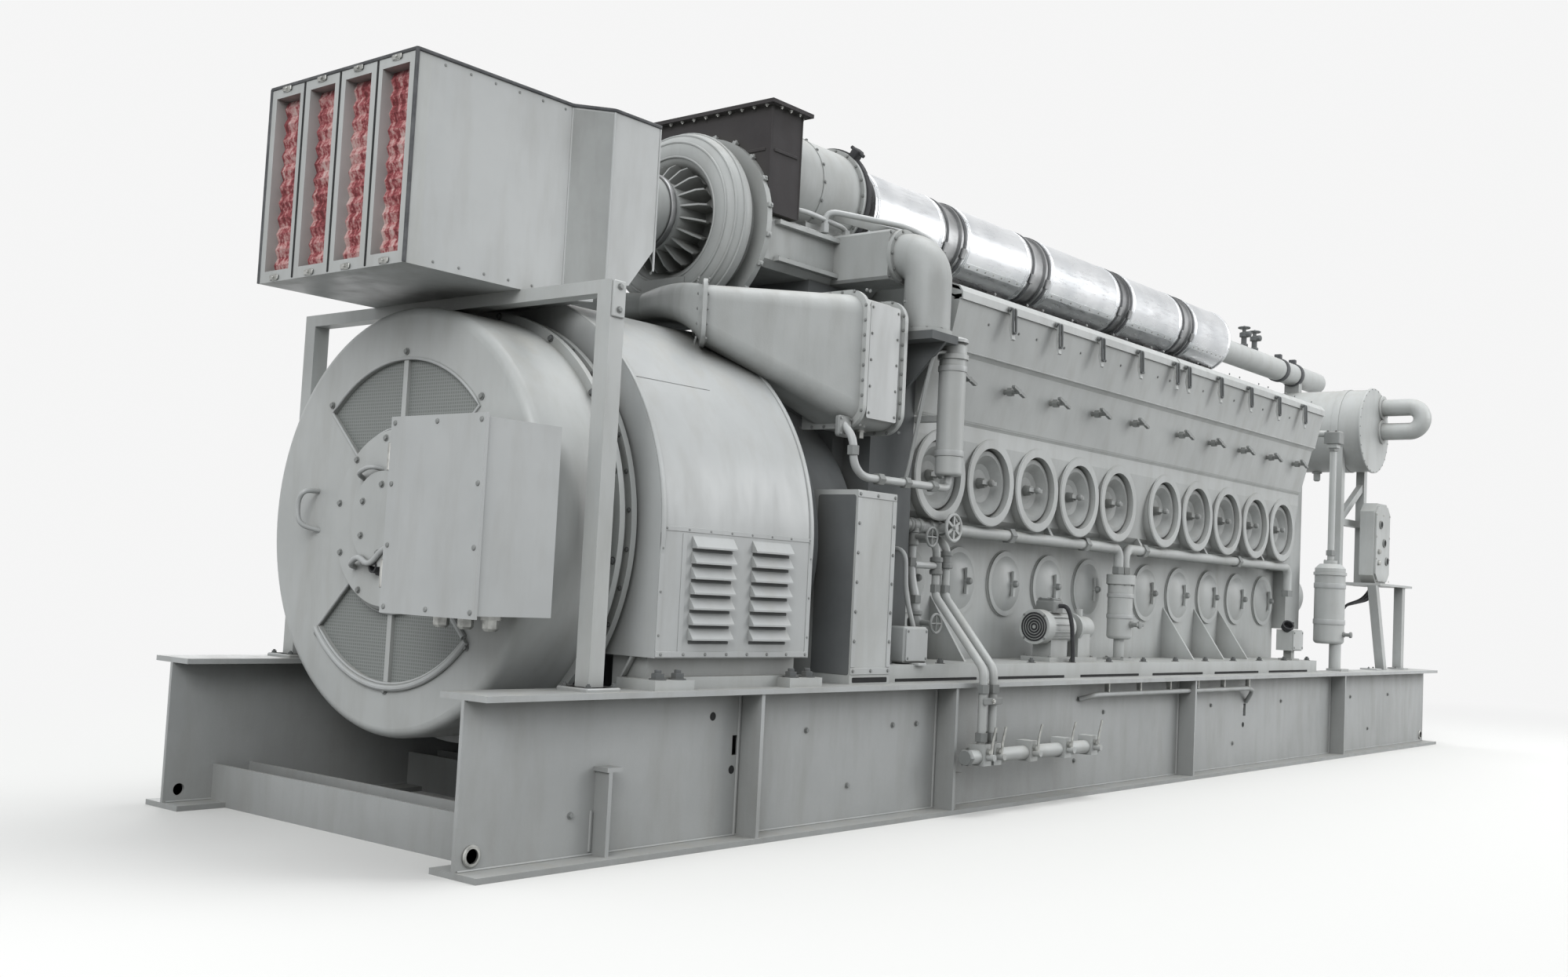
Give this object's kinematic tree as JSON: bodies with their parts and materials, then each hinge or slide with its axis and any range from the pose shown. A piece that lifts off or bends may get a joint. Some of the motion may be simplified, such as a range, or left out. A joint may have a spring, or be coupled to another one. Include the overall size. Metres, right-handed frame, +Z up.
{
  "type": "diesel generating set",
  "caption": "Skid-mounted vee diesel engine and alternator with roof-high intake filter box, turbocharger, lagged exhaust manifold, hinged top-deck lids and expansion tank.",
  "frame": {"origin": "middle of the skid's underside, below the crankshaft axis", "axes": "+X along the crankshaft from the alternator to the accessory end, +Z up, the pictured long side faces -Y"},
  "size_m": [9.014, 1.97, 2.949],
  "materials": {
    "light_grey_paint": "satin light grey enamel",
    "deep_grey_paint": "dull grey primer in shade",
    "heat_resistant_dark": "matt dark heat-resistant paint",
    "lagging_sheet": "rolled bright sheet",
    "filter_paper": "pleated paper media, dark red",
    "filter_frame_steel": "satin light grey",
    "screen_steel": "woven mesh, painted",
    "plated_steel": "dull plated",
    "cast_iron_paint": "painted casting"
  },
  "bodies": {
    "root": {"accessory_gear_case": "light_grey_paint", "aftercoolers": "light_grey_paint", "air_elbows": "light_grey_paint", "alternator_bearing_cover": "light_grey_paint", "alternator_cover": "light_grey_paint", "alternator_end_bell": "light_grey_paint", "alternator_feet": "light_grey_paint", "alternator_rear_bell": "deep_grey_paint", "alternator_screens": "screen_steel", "alternator_stator_frame": "light_grey_paint", "alternator_terminal_box": "light_grey_paint", "charge_ducts": "light_grey_paint", "charge_scoop": "light_grey_paint", "coupling_housing": "light_grey_paint", "crankcase": "light_grey_paint", "cylinder_heads": "cast_iron_paint", "deck_troughs": "light_grey_paint", "drain_manifold": "light_grey_paint", "engine_base_rails": "light_grey_paint", "engine_control_box": "light_grey_paint", "exhaust_duct": "heat_resistant_dark", "exhaust_manifold": "heat_resistant_dark", "exhaust_risers": "heat_resistant_dark", "expansion_tank": "light_grey_paint", "filter_frames": "filter_frame_steel", "filter_housing": "light_grey_paint", "filter_media": "filter_paper", "filter_stand": "light_grey_paint", "fuel_filter": "light_grey_paint", "fuel_strainer": "light_grey_paint", "gallery_pipe": "light_grey_paint", "gallery_valve": "light_grey_paint", "junction_box": "light_grey_paint", "lagging_bands": "lagging_sheet", "lagging_sections": "lagging_sheet", "lube_filter": "light_grey_paint", "manifold_adapter": "lagging_sheet", "oil_pan": "light_grey_paint", "pan_covers": "light_grey_paint", "port_covers": "light_grey_paint", "rear_end_housing": "light_grey_paint", "side_drain_pipes": "light_grey_paint", "skid_beams": "light_grey_paint", "skid_cross_members": "light_grey_paint", "soakback_pump": "light_grey_paint", "tank_return_bend": "light_grey_paint", "tank_stand": "light_grey_paint", "test_valves": "plated_steel", "turbo_gear_case": "light_grey_paint", "turbo_inlet": "light_grey_paint", "turbo_scroll": "light_grey_paint", "vent_pipe": "light_grey_paint", "water_pumps": "light_grey_paint"},
    "deck_lid_far_rear": {"deck_lid_far_rear": "light_grey_paint"},
    "deck_lid_far_front": {"deck_lid_far_front": "light_grey_paint"},
    "deck_lid_near_rear": {"deck_lid_near_rear": "light_grey_paint"},
    "deck_lid_near_front": {"deck_lid_near_front": "light_grey_paint"}
  },
  "joints": [
    {"name": "deck_lid_far_rear_hinge", "type": "hinge", "parent": "root", "child": "deck_lid_far_rear", "pos_m": [0, 0.284, 2.404], "axis": [1, 0, 0], "range_deg": [0, 75]},
    {"name": "deck_lid_far_front_hinge", "type": "hinge", "parent": "root", "child": "deck_lid_far_front", "pos_m": [0, 0.284, 2.404], "axis": [1, 0, 0], "range_deg": [0, 75]},
    {"name": "deck_lid_near_rear_hinge", "type": "hinge", "parent": "root", "child": "deck_lid_near_rear", "pos_m": [0, -0.284, 2.404], "axis": [-1, 0, 0], "range_deg": [0, 75]},
    {"name": "deck_lid_near_front_hinge", "type": "hinge", "parent": "root", "child": "deck_lid_near_front", "pos_m": [0, -0.284, 2.404], "axis": [-1, 0, 0], "range_deg": [0, 75]}
  ]
}
